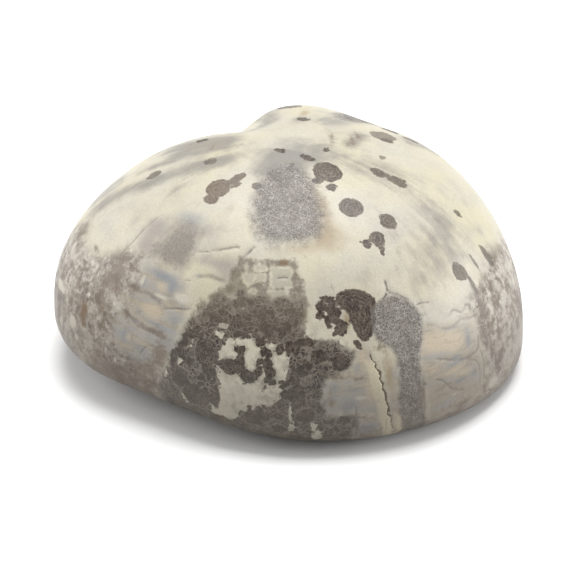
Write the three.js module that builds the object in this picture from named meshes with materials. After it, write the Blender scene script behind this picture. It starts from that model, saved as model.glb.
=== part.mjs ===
// A fossil sea urchin: the worn, silica-hard test of a helmet-shaped urchin, all one solid stone.
// Millimetres, +Z up. The origin is at the middle of the flat underside, on the surface it rests on.
// The front of the fossil faces -Y. A "turn" is an angle in degrees, from the front round to the right (+X).
import * as THREE from "three";
import { mergeVertices } from "three/addons/utils/BufferGeometryUtils.js";

// ---- Driving dimensions ------------------------------------------------------------------------------

const HEIGHT = 23.5; // from the flat underside to the crown of the dome
const CELLS = 28; // cells along each edge of the cube that is blown up into the ball
const LOWER_FULLNESS = 2.6; // squareness of the shell below the rim: 2 is an ellipse, more is squarer
const FLAT_BLEND = 0.7; // height over which the flat underside rounds up into the flank

// Ten stations round the test, 36 degrees apart. The bands of small plates (the rays) and the broad
// fields between them take turns.
//   reach     how far the widest line (the rim) stands from the axis
//   rim       height of that line above the resting plane
//   fullness  squareness of the dome above it: 2 is an ellipse, less is more like a cone
//   sole      how far out the flat underside reaches
const STATIONS = [
  { name: "front ray", reach: 23.4, rim: 4.4, fullness: 2.3, sole: 19.5 },
  { name: "front right field", reach: 24.8, rim: 3.2, fullness: 2.3, sole: 21.5 },
  { name: "right ray", reach: 25.4, rim: 2.6, fullness: 2.2, sole: 24.0 },
  { name: "back right field", reach: 23.8, rim: 4.2, fullness: 2.25, sole: 21.0 },
  { name: "back right ray", reach: 23.6, rim: 4.6, fullness: 2.25, sole: 20.0 },
  { name: "back field", reach: 24.0, rim: 4.8, fullness: 2.25, sole: 20.0 },
  { name: "back left ray", reach: 22.8, rim: 5.6, fullness: 1.85, sole: 19.0 },
  { name: "back left field", reach: 23.8, rim: 6.2, fullness: 1.9, sole: 19.0 },
  { name: "left ray", reach: 24.8, rim: 6.0, fullness: 2.2, sole: 16.0 },
  { name: "front left field", reach: 22.4, rim: 6.0, fullness: 2.3, sole: 13.5 },
];

// Furrows worn down the rays, deepest half way between the crown and the rim.
const FURROWS = [
  { turn: 0, depth: 0.15, halfWidth: 16 },
  { turn: 72, depth: 0.25, halfWidth: 16 },
  { turn: 144, depth: 0.4, halfWidth: 16 },
  { turn: 207, depth: 1.9, halfWidth: 15 },
  { turn: 288, depth: 0.3, halfWidth: 16 },
];

// The mouth: a shallow oval dent in the flat underside, wider than it is long, near the front.
const MOUTH = { y: -9.5, width: 9.0, length: 6.5, depth: 1.0 };

// ---- Shape -------------------------------------------------------------------------------------------

// A closed smooth curve through three of the measures of the stations.
function stationLoop(first, second, third) {
  const points = STATIONS.map((s) => new THREE.Vector3(s[first], s[second], s[third]));
  return new THREE.CatmullRomCurve3(points, true, "catmullrom", 0.5);
}

const rimLoop = stationLoop("reach", "rim", "sole");
const domeLoop = stationLoop("fullness", "fullness", "fullness");

// How far a unit superellipse is from its centre, `tilt` radians off its axis.
function superellipse(tilt, fullness) {
  const across = Math.abs(Math.sin(tilt)) ** fullness;
  const along = Math.abs(Math.cos(tilt)) ** fullness;
  return (across + along) ** (-1 / fullness);
}

// Nothing below -FLAT_BLEND, z itself above +FLAT_BLEND, and a smooth bend between the two.
function flatten(z) {
  if (z <= -FLAT_BLEND) return 0;
  if (z >= FLAT_BLEND) return z;
  return (z + FLAT_BLEND) ** 2 / (4 * FLAT_BLEND);
}

// The smallest angle between two turns.
function apart(turnA, turnB) {
  const gap = Math.abs(turnA - turnB) % 360;
  return Math.min(gap, 360 - gap);
}

function furrowDepth(turn, tilt) {
  const alongRay = Math.sin(Math.min(2 * tilt, Math.PI)) ** 2;
  let depth = 0;
  for (const furrow of FURROWS) {
    const across = apart(turn, furrow.turn) / furrow.halfWidth;
    depth += furrow.depth * Math.exp(-across * across) * alongRay;
  }
  return depth;
}

function mouthDepth(x, y) {
  const out = Math.hypot(x / (MOUTH.width / 2), (y - MOUTH.y) / (MOUTH.length / 2));
  return out < 1 ? MOUTH.depth * (1 - out * out) ** 2 : 0;
}

// Moves a point of the unit ball onto the test.
function shapeTest(point) {
  const tilt = Math.acos(THREE.MathUtils.clamp(point.z, -1, 1));
  const turn = (THREE.MathUtils.radToDeg(Math.atan2(point.x, -point.y)) + 360) % 360;
  const { x: reach, y: rim, z: sole } = rimLoop.getPoint(turn / 360);
  const outwards = point.clone();
  const upper = point.z >= 0;
  const fullness = upper ? domeLoop.getPoint(turn / 360).x : LOWER_FULLNESS;
  // The lower shell would carry on below the resting plane; cut off there, its edge is the sole.
  const cutOff = (1 - (sole / reach) ** LOWER_FULLNESS) ** (1 / LOWER_FULLNESS);
  const side = upper ? HEIGHT - rim : rim / cutOff;
  const stretch = superellipse(tilt, fullness);
  const across = reach * stretch * Math.sin(tilt);
  const azimuth = THREE.MathUtils.degToRad(turn);
  point.x = across * Math.sin(azimuth);
  point.y = -across * Math.cos(azimuth);
  point.z = rim + side * stretch * Math.cos(tilt);
  if (upper) {
    point.addScaledVector(outwards, -furrowDepth(turn, tilt));
  } else {
    point.z = flatten(point.z) + mouthDepth(point.x, point.y);
  }
}

function testGeometry() {
  const box = new THREE.BoxGeometry(2, 2, 2, CELLS, CELLS, CELLS);
  box.deleteAttribute("normal");
  box.deleteAttribute("uv");
  const shell = mergeVertices(box, 1e-4);
  const position = shell.getAttribute("position");
  const point = new THREE.Vector3();
  for (let i = 0; i < position.count; i++) {
    point.fromBufferAttribute(position, i);
    // The tangent spaces the cells evenly once they are blown up into a ball.
    point.set(...point.toArray().map((side) => Math.tan((side * Math.PI) / 4)));
    point.normalize();
    shapeTest(point);
    position.setXYZ(i, point.x, point.y, point.z);
  }
  shell.computeBoundingBox();
  const middle = shell.boundingBox.getCenter(new THREE.Vector3());
  shell.translate(-middle.x, -middle.y, 0);
  shell.computeVertexNormals();
  return shell;
}

const stone = new THREE.MeshStandardMaterial({ color: 0xb5ab98, roughness: 0.55, metalness: 0 });
const test = new THREE.Mesh(testGeometry(), stone);
test.name = "urchin_test";

const fossil = new THREE.Group();
fossil.add(test);

export default fossil;
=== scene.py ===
# %% [markdown]
# # A fossil sea urchin
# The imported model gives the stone's overall shape. This lesson grows a fine skin over it, carves and wears
# that skin as the sea did, and stains it: cream silica, umber rosettes, grey grainy patches and blue-grey
# chalcedony. Everything is in metres, with the front of the fossil towards -Y and +Z up.

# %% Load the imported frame
import math
import random

import bmesh
import bpy
import numpy as np
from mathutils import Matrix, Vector, kdtree, noise
from mathutils.bvhtree import BVHTree


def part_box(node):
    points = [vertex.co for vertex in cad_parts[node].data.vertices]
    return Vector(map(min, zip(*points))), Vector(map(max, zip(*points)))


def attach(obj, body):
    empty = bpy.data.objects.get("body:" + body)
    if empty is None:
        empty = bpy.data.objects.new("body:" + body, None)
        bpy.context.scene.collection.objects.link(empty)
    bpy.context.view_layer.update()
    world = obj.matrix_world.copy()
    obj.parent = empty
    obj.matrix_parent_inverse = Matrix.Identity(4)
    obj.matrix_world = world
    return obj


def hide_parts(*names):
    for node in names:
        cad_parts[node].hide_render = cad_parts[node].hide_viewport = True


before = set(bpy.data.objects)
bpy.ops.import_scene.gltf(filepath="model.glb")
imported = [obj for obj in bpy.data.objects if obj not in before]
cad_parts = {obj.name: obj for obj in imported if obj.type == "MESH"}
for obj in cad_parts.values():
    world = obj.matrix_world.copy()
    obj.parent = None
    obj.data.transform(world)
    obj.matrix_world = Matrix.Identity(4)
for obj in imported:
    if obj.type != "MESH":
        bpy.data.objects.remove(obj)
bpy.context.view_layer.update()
scene = bpy.context.scene
cad_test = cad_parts["urchin_test"]
low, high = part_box("urchin_test")
MM = 0.001
print("the stone measures", [round(side / MM, 1) for side in high - low], "mm")

# %% [markdown]
# ## A fine skin
# The real stone is one smooth, sea-worn surface with no flats on it. It could be sculpted from a ball, but
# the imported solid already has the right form, so a copy of it is merged, its triangles are joined into
# four-sided faces, and subdivision rounds them. The faces come out about 0.3 mm across.

# %% Copy the solid and subdivide it
def merged_copy(node):
    """A bmesh of the node's faces with shared corners, in four-sided faces."""
    bm = bmesh.new()
    bm.from_mesh(node.data)
    bmesh.ops.remove_doubles(bm, verts=bm.verts, dist=0.001 * MM)
    bmesh.ops.join_triangles(
        bm,
        faces=bm.faces,
        angle_face_threshold=math.pi,
        angle_shape_threshold=math.pi,
    )
    return bm


def subdivided(bm, levels):
    """The mesh of bm after smooth subdivision."""
    mesh = bpy.data.meshes.new("coarse_skin")
    bm.to_mesh(mesh)
    bm.free()
    coarse = bpy.data.objects.new("coarse_skin", mesh)
    scene.collection.objects.link(coarse)
    rounding = coarse.modifiers.new("rounding", "SUBSURF")
    rounding.levels = levels
    rounding.render_levels = levels
    graph = bpy.context.evaluated_depsgraph_get()
    fine = bpy.data.meshes.new_from_object(coarse.evaluated_get(graph))
    bpy.data.objects.remove(coarse)
    return fine


skin = subdivided(merged_copy(cad_test), levels=2)
print("the skin has", len(skin.vertices), "points and", len(skin.polygons), "faces")

# %% [markdown]
# ## Finding places on the stone
# A place is named by two angles, as on a globe. The turn goes round from the front towards the right, and
# the rise goes up from the level of the heart, a point inside the stone 4 mm above its base; 90 is the
# crown. A ray from the heart finds the place on the surface, whatever its shape.

# %% Turn and rise
HEART = Vector((0, 0, 4 * MM))
MM_PER_DEGREE = 0.38  # a degree of arc on the surface


def towards(turn, rise):
    """The direction from the heart to a place."""
    turn, rise = math.radians(turn), math.radians(rise)
    return Vector((math.sin(turn) * math.cos(rise), -math.cos(turn) * math.cos(rise), math.sin(rise)))


def tree_of(mesh):
    """A search tree of the mesh's faces."""
    bm = bmesh.new()
    bm.from_mesh(mesh)
    tree = BVHTree.FromBMesh(bm)
    bm.free()
    return tree


skin_tree = tree_of(skin)


def place(turn, rise):
    """The point of the surface at a place."""
    return skin_tree.ray_cast(HEART, towards(turn, rise))[0]


print("the crown is at", [round(side / MM, 2) for side in place(0, 90)])

# %% Smooth lines through a few places
def rounded(points, closed, steps=6):
    """A smooth line through the points, with a few steps between each two."""
    p = np.array(points, float)
    if closed:
        ring = np.vstack([p[-1:], p, p[:2]])
    else:
        ring = np.vstack([2 * p[:1] - p[1:2], p, 2 * p[-1:] - p[-2:-1]])
    a, b, c, d = ring[:-3], ring[1:-2], ring[2:-1], ring[3:]
    s = np.linspace(0, 1, steps, endpoint=False)[:, None, None]
    line = 0.5 * (2 * b + (c - a) * s + (2 * a - 5 * b + 4 * c - d) * s**2 + (3 * b - a - 3 * c + d) * s**3)
    line = line.transpose(1, 0, 2).reshape(-1, p.shape[1])
    return line if closed else np.vstack([line, p[-1:]])


def on_surface(points):
    """The line through the places, laid on the surface, in millimetres."""
    return np.array([place(turn, rise) for turn, rise in rounded(points, closed=False)]) / MM


# %% [markdown]
# ## Seams and the crack
# The seams between the plates of the test show as thin etched lines, and one crack runs down the right
# front with a pale chipped lip. Both need finer faces than the rest, so the skin is divided again along
# them before anything is carved.

# %% The lines, each with its width in millimetres and its darkness
SEAMS = [
    # left field: long tongues of grey
    (0.14, 0.9, [(-31.3, 40.2), (-29, 40.7), (-26.5, 41.2)]),
    (0.34, 0.7, [(-27.5, 41.3), (-24, 42.3), (-20, 43.5), (-17, 43.8)]),
    (0.14, 0.9, [(-31.8, 32.4), (-30, 32.8)]),
    (0.5, 0.55, [(-28.5, 34.2), (-24, 35), (-18.5, 34.6)]),
    (0.2, 0.75, [(-36.3, 24), (-34, 24.7), (-31, 25.3), (-27.5, 26)]),
    # above the small plates of the front ray
    (0.3, 0.8, [(-12.2, 44.8), (-13.5, 43), (-15.5, 41)]),
    (0.2, 0.8, [(-3.8, 36.7), (-1.5, 36.8), (0, 36.7)]),
    # round the grey circle on the right
    (0.26, 1.0, [(24.8, 27.6), (26.6, 28.9), (28.2, 30.2), (28.6, 31.6), (28.9, 33.4)]),
    (0.3, 0.9, [(28.2, 30.2), (29.8, 29.5), (31.5, 28.7), (34, 26.8)]),
    (0.2, 0.8, [(35, 25.3), (37.5, 25.2), (39.5, 24.7)]),
    (0.1, 0.5, [(12.5, 35), (13.2, 31.5)]),
    # streaks in the grey column
    (0.4, 0.7, [(30.2, 18.5), (30.5, 16), (30.4, 13), (30.8, 10.5)]),
    (0.3, 0.6, [(31.5, 12), (31.2, 9), (31.6, 6), (31.4, 3)]),
    (0.3, 0.6, [(33.2, 9), (33, 6), (33.4, 2), (33.3, -2)]),
    # big plates of the right field
    (0.35, 0.5, [(36.5, 20.4), (39, 19), (41, 17.8), (44, 17.3), (47, 17.8), (50, 17.2), (53.5, 16.3)]),
    (0.3, 0.6, [(43, 19.5), (45.5, 20.7), (48, 19.2), (49.7, 20), (51, 20.1), (51.5, 19.2), (50.3, 18.6)]),
    (0.28, 0.7, [(36, 12), (39, 11), (42, 9.6), (44.5, 8.9), (47.5, 8.5), (50, 9), (51, 10.5), (50.8, 13.5)]),
    (0.2, 0.6, [(45, 8.1), (48.5, 7.2), (50, 5.2), (50.2, 2.5), (50.3, -1)]),
    (0.25, 0.65, [(51.2, 9), (51.7, 5), (51.7, 1), (51.9, -4)]),
    (0.3, 0.6, [(35.5, 7), (38.5, 5.7), (40.5, 3.2), (43, 1.8), (45, 1)]),
    (0.5, 0.55, [(55.2, 25), (55.3, 21), (55.3, 17), (54, 13), (51.5, 9.5)]),
    # left of the crack
    (0.2, 0.7, [(16, 5), (16.1, 1), (16.2, -2.5), (16.4, -6)]),
    (0.25, 0.6, [(12.5, 2), (15, 1.3), (17.5, 1), (19.5, 1.6)]),
    (0.12, 0.6, [(23.3, 0), (23.2, -2.5), (23.5, -6)]),
    # the left field: its upper edge, then the lines between its plates
    (0.18, 0.6, [(-53.5, 45), (-54.5, 41), (-55, 36.5), (-55.5, 34), (-56.7, 30)]),
    (0.5, 0.6, [(-48, 26.5), (-45.5, 26), (-42, 26.2), (-39, 25.6), (-36.5, 24.4)]),
    (0.5, 0.6, [(-47.5, 20.5), (-45, 18.7), (-41, 18), (-37, 18), (-33, 18.5)]),
    (0.3, 0.6, [(-41.5, 10), (-39.5, 13), (-37, 14), (-35, 12)]),
    (0.25, 0.7, [(-32.6, 10), (-33.7, 7), (-34, 3), (-34.5, -1)]),
    (0.3, 0.5, [(-60.3, 26), (-61, 24), (-63.5, 22), (-66, 20.5)]),
]
SMALL_PLATES = [  # cream plates of the front ray, in a net of brown
    [(-10.9, 39.6), (-9, 39.9), (-7.2, 39.8), (-7, 38.4), (-9, 38.1), (-10.8, 38.3)],
    [(-14.4, 39.3), (-13.2, 39.5), (-12.8, 38.3), (-13.6, 37.8)],
    [(-14.3, 36.6), (-12.5, 37.4), (-10.5, 37.4), (-10.4, 35.5), (-11.5, 34.3), (-13, 34.8)],
    [(-10, 37.4), (-7.4, 37.5), (-7.1, 36.2), (-8.5, 35.3), (-9.9, 35.8)],
    [(-5.6, 39.4), (-2, 39.3), (0.8, 39.3), (0.9, 37.4), (0.8, 36), (1.2, 34.4), (-2, 34.3), (-5, 34.2),
     (-5.4, 36.8)],
    [(-5.4, 33.2), (-2, 33.6), (-0.4, 33.4), (-1, 32.2), (-4, 31.9), (-5.5, 32.2)],
    [(-11.4, 33.2), (-10.2, 33.7), (-9.3, 33), (-9.8, 32.2), (-11, 32.3)],
    [(-17.2, 30.6), (-15.8, 31.6), (-14.4, 31.1), (-15.6, 30.3)],
    [(-13.2, 28.7), (-12.5, 29.1), (-12, 28.6), (-12.6, 28.1)],
]
CRACK = [
    (19.2, 20.5), (19.7, 18.3), (20, 17.3), (20.5, 16), (21, 14.5), (21.7, 12.5), (22.1, 10.5), (22.8, 8),
    (23.2, 6), (23.7, 4), (23.8, 2.5), (24.2, 0.3), (25, -2.2), (25.3, -5),
]
seam_lines = [(width, ink, on_surface(points)) for width, ink, points in SEAMS]
crack_line = on_surface(CRACK)
crack_length = float(np.linalg.norm(np.diff(crack_line, axis=0), axis=1).sum())
print("seams:", len(seam_lines), "crack length:", round(crack_length, 1), "mm")

# %% Divide the skin again along the lines
def near_points(points, spread):
    """A test that says whether a place in metres is within spread millimetres of any of the points."""
    tree = kdtree.KDTree(len(points))
    for i, point in enumerate(points):
        tree.insert(point, i)
    tree.balance()
    return lambda co: tree.find(co / MM)[2] < spread


def divide_near(bm, points, spread):
    """Divides once each edge that lies near the points."""
    near = near_points(points, spread)
    edges = [e for e in bm.edges if near(e.verts[0].co) and near(e.verts[1].co)]
    bmesh.ops.subdivide_edges(bm, edges=edges, cuts=1, use_grid_fill=True)


plate_lines = [on_surface(outline + outline[:1]) for outline in SMALL_PLATES]
all_seams = np.vstack([line for _, _, line in seam_lines] + plate_lines)
bm = bmesh.new()
bm.from_mesh(skin)
divide_near(bm, all_seams, spread=0.6)
divide_near(bm, crack_line, spread=1.0)
divide_near(bm, crack_line, spread=0.6)
bmesh.ops.recalc_face_normals(bm, faces=bm.faces)
bm.to_mesh(skin)
bm.free()
triangles = sum(len(face.vertices) - 2 for face in skin.polygons)
print("after dividing:", len(skin.vertices), "points,", triangles, "triangles")

# %% [markdown]
# ## Measuring every point
# The stains follow the stone's own anatomy, so they are laid out with the same turn and rise. Each point of
# the skin gets its two angles, and every mark is then a field: a number for each point that says how far
# inside the mark it is. Shaders read such fields smoothly between points, so an edge can be sharper than
# the faces are.

# %% Angles and places of the points
count = len(skin.vertices)
co = np.empty(count * 3)
skin.vertices.foreach_get("co", co)
co = co.reshape(-1, 3)
normals = np.empty(count * 3)
skin.vertices.foreach_get("normal", normals)
normals = normals.reshape(-1, 3)
points = co / MM
from_heart = points - np.array(HEART) / MM
turns = np.degrees(np.arctan2(from_heart[:, 0], -from_heart[:, 1]))
rises = np.degrees(np.arctan2(from_heart[:, 2], np.hypot(from_heart[:, 0], from_heart[:, 1])))


def apart(turn):
    """How far round each point is from a turn, from -180 to 180 degrees."""
    return (turns - turn + 180) % 360 - 180


def blend(value, start, end):
    """0 at start, 1 at end and smooth between."""
    s = np.clip((value - start) / (end - start), 0, 1)
    return s * s * (3 - 2 * s)


# %% A mark with an outline
def patch(outline, reach=4.0):
    """Millimetres inside a closed outline of places; negative outside it, down to -reach."""
    line = rounded(outline, closed=True)
    middle = line[:, 0].mean()
    span = np.cos(np.radians(rises))
    here = np.stack([apart(middle) * span, rises], -1) * MM_PER_DEGREE
    line_span = np.cos(np.radians(line[:, 1]))
    edge = np.stack([(line[:, 0] - middle) * line_span, line[:, 1]], -1) * MM_PER_DEGREE
    inside_mm = np.full(count, -reach)
    close = np.all((here > edge.min(0) - reach) & (here < edge.max(0) + reach), axis=1)
    p = here[close][:, None]
    a, b = edge[None], np.roll(edge, -1, 0)[None]
    along = np.clip(((p - a) * (b - a)).sum(2) / ((b - a) ** 2).sum(2), 0, 1)
    distance = np.linalg.norm(p - a - along[..., None] * (b - a), axis=2).min(1)
    crosses = (a[..., 1] > p[..., 1]) != (b[..., 1] > p[..., 1])
    where = a[..., 0] + (p[..., 1] - a[..., 1]) * (b[..., 0] - a[..., 0]) / (b[..., 1] - a[..., 1] + 1e-12)
    inside = (crosses & (p[..., 0] < where)).sum(1) % 2 == 1
    inside_mm[close] = np.clip(np.where(inside, distance, -distance), -reach, None)
    return inside_mm


# %% An oval mark
def ways_along(turn, rise):
    """The directions across and up the surface at a place."""
    turn, rise = math.radians(turn), math.radians(rise)
    across = np.array([math.cos(turn), math.sin(turn), 0])
    up = np.array([-math.sin(turn) * math.sin(rise), math.cos(turn) * math.sin(rise), math.cos(rise)])
    return across, up


def oval(turn, rise, half_width, half_height, lean=0.0):
    """How far each point is from the middle of an oval: 1 is its edge. Leaning turns it clockwise."""
    across, up = ways_along(turn, rise)
    lean = math.radians(lean)
    offset = points - np.array(place(turn, rise)) / MM
    x, y = offset @ across, offset @ up
    x, y = x * math.cos(lean) - y * math.sin(lean), x * math.sin(lean) + y * math.cos(lean)
    depth = offset @ np.cross(across, up) / (half_width + half_height)
    return np.sqrt((x / half_width) ** 2 + (y / half_height) ** 2 + depth**2)


def soft_ovals(marks):
    """Soft clouds, each (turn, rise, half width, half height, strength)."""
    cloud = np.zeros(count)
    for turn, rise, half_width, half_height, strength in marks:
        fade = strength * np.exp(-1.2 * oval(turn, rise, half_width, half_height) ** 2)
        cloud = 1 - (1 - cloud) * (1 - fade)
    return cloud


# %% Distance from a line
def beside(line, reach):
    """Signed millimetres from a line, and how far along it (0 to 1), for the points within reach."""
    close = np.flatnonzero(np.all((points > line.min(0) - reach) & (points < line.max(0) + reach), axis=1))
    p = points[close][:, None]
    a, b = line[:-1][None], line[1:][None]
    s = np.clip(((p - a) * (b - a)).sum(2) / ((b - a) ** 2).sum(2), 0, 1)
    offset = p - a - s[..., None] * (b - a)
    distance = np.linalg.norm(offset, axis=2)
    best = distance.argmin(1)
    rows = np.arange(len(close))
    side = np.sign((np.cross((b - a)[0][best], from_heart[close]) * offset[rows, best]).sum(1))
    return close, side * distance[rows, best], (best + s[rows, best]) / (len(line) - 1)


# %% [markdown]
# ## The stains
# The order follows the stone. Cream silica comes first. Grey grainy patches sit on the front ray, on the
# left field and on the right as a circle with a column below it. The foot of the front ray is an umber
# field of beekite rosettes with cream gaps. Dark rosettes are scattered over the dome. The plates low down
# on both sides are blue-grey chalcedony with peach hearts, and between them the stone is mottled. Stains
# could be painted by hand or thrown by chance. Outlines and ovals, each laid down by its place, put every
# stain where the real one grew, and a few helpers make them all.

# %% Grainy grey patches
front_grain = patch([
    (-22, 68), (-20, 61), (-17.5, 55), (-14.5, 50.5), (-10.5, 47.2), (-5, 46), (2, 46.4), (8, 46.6),
    (13, 48.6), (16, 53), (17.5, 59), (17.5, 66), (13, 73), (4, 76), (-8, 75.5), (-18, 73),
])
left_grain = patch([
    (-46.5, 41), (-45.5, 45), (-41, 46.5), (-35, 46), (-32, 43), (-32, 38), (-33, 35), (-38, 33.8),
    (-43.5, 33.8), (-46.5, 36),
])
right_grain = patch([
    (25.5, 28.7), (29, 29.3), (32.5, 27.8), (35, 25), (35.7, 21.5), (34.5, 17.5), (33, 14), (32.8, 8),
    (33.5, 0), (33.8, -8), (26, -8), (26.3, 0), (26.8, 8), (26.8, 14), (25.5, 17), (22.3, 20), (21.8, 24),
    (23.2, 27),
])
back_grain = np.maximum(
    patch([(136, 58), (142, 62), (150, 60), (154, 50), (146, 44), (138, 48)]),
    patch([(-128, 30), (-122, 34), (-115, 30), (-114, 20), (-120, 14), (-127, 20)]),
)
grain = np.maximum.reduce([front_grain, left_grain - 0.3, 3 * right_grain, back_grain])
grain_tone = np.where((turns > 15) & (turns < 60), 0.55 + 0.45 * blend(rises, 20, 12), 0.0)
grain_tone = np.where((turns < -20) & (turns > -70), 0.15, grain_tone)
print("grainy share of the surface:", round(float((grain > 0).mean()), 3))

# %% The umber fields and their cream gaps
front_umber = patch([
    (-20, 32), (-22.8, 29.5), (-25.5, 26.5), (-27.3, 23.5), (-29, 20.5), (-30.3, 16.5), (-31.5, 13),
    (-32.5, 10), (-34, 6), (-35, 2), (-35, -3), (-34, -14), (14, -14), (15.5, -5), (16, -1), (16.5, 1.5),
    (9.5, 2.5), (8.5, 5), (8, 9), (9, 11.5), (11.5, 13), (15, 13.7), (16, 15.5), (16, 18), (14, 19.5),
    (13, 20.6), (9, 21.2), (5.5, 22), (4.3, 24), (4, 26.5), (5, 28.5), (4.5, 31.5), (1.5, 31), (-2, 32.5),
    (-5, 31), (-8, 33), (-11, 31.5), (-14, 33.5), (-17, 31.5),
])


def ray_foot(turn, width, top):
    """The outline of the umber foot of a ray on the back: narrow at the top, broad at the base."""
    shape = [
        (-0.3, 1.0), (-0.55, 0.7), (-0.75, 0.35), (-0.95, 0.0), (-1.0, -0.6), (1.0, -0.6), (0.9, 0.0),
        (0.7, 0.4), (0.5, 0.75), (0.25, 1.0),
    ]
    return [(turn + width * x, top * y) for x, y in shape]


back_umber = np.maximum(patch(ray_foot(146, 17, 27)), patch(ray_foot(-148, 19, 31)))
umber = np.maximum(front_umber, back_umber)
GAPS = [  # turn, rise, half width, half height
    (-26.2, 18, 0.28, 0.36), (-28.7, 12.4, 0.34, 0.4), (-18.2, 21.4, 0.3, 0.2), (-17.5, 23.6, 0.34, 0.2),
    (-19.7, 7.5, 0.32, 0.5), (-27.3, 2.3, 0.2, 0.36), (-33, 8, 0.2, 0.5), (7.4, 24, 1.05, 0.95),
    (10.3, 22.8, 0.6, 0.5), (0.9, -0.8, 0.26, 0.45), (6.2, -0.6, 0.35, 0.5), (6.9, -3.4, 0.5, 0.75),
    (14.4, 20.2, 0.5, 0.4), (0.4, 3.5, 0.16, 0.8), (141, 14, 0.9, 0.6), (147, 8, 1.2, 1.0),
    (152, 17, 0.5, 1.0), (-152, 12, 1.3, 0.8), (-143, 17, 0.6, 1.1), (-149, 4, 0.7, 0.7),
]
big_gap = patch([
    (-17, 11.3), (-14, 11.9), (-12.5, 10.4), (-11, 9.9), (-8.5, 9.9), (-7.3, 10.6), (-6.8, 9.2),
    (-5, 9.6), (-2.3, 9.2), (-2.2, 7), (-3.5, 6), (-4.6, 5), (-6, 5), (-8.5, 4.3), (-9, 3.4), (-11, 3),
    (-12.5, 1.5), (-13, 0), (-17, -0.4), (-19.5, 1.3), (-18.5, 4), (-17.5, 6), (-17, 9),
])
upper_gap = patch([
    (-20, 14.4), (-18.4, 16), (-17.7, 18), (-16.3, 19.9), (-14, 20.5), (-12.3, 21.3), (-10, 21.8),
    (-8.2, 21.5), (-4, 20.5), (-1, 19), (0.6, 17.2), (0.6, 15.6), (-0.6, 14.4), (-0.8, 12.5), (-2.2, 11),
    (-2.2, 9.5), (-6, 9), (-12, 9.9), (-16.5, 11), (-18.6, 13),
])
small_gaps = [(1 - oval(*mark)) * (mark[2] + mark[3]) / 2 for mark in GAPS]
gap = np.maximum.reduce([big_gap, upper_gap] + small_gaps)
small_net = patch([
    (-16.5, 41.6), (-11, 41.3), (-6.5, 41.6), (0, 41.2), (2.8, 41.6), (3.2, 37), (4.6, 36.4), (4.6, 33.8),
    (5.5, 30), (3, 25), (-10, 24), (-22, 28), (-23, 30), (-20, 32.5), (-18.5, 35), (-18.5, 37), (-17, 39),
])
small_plate = np.maximum.reduce([patch(outline, reach=1.5) for outline in SMALL_PLATES])
small_net = np.minimum(small_net, -small_plate)
print("umber share of the surface:", round(float((umber > 0).mean()), 3))

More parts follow.
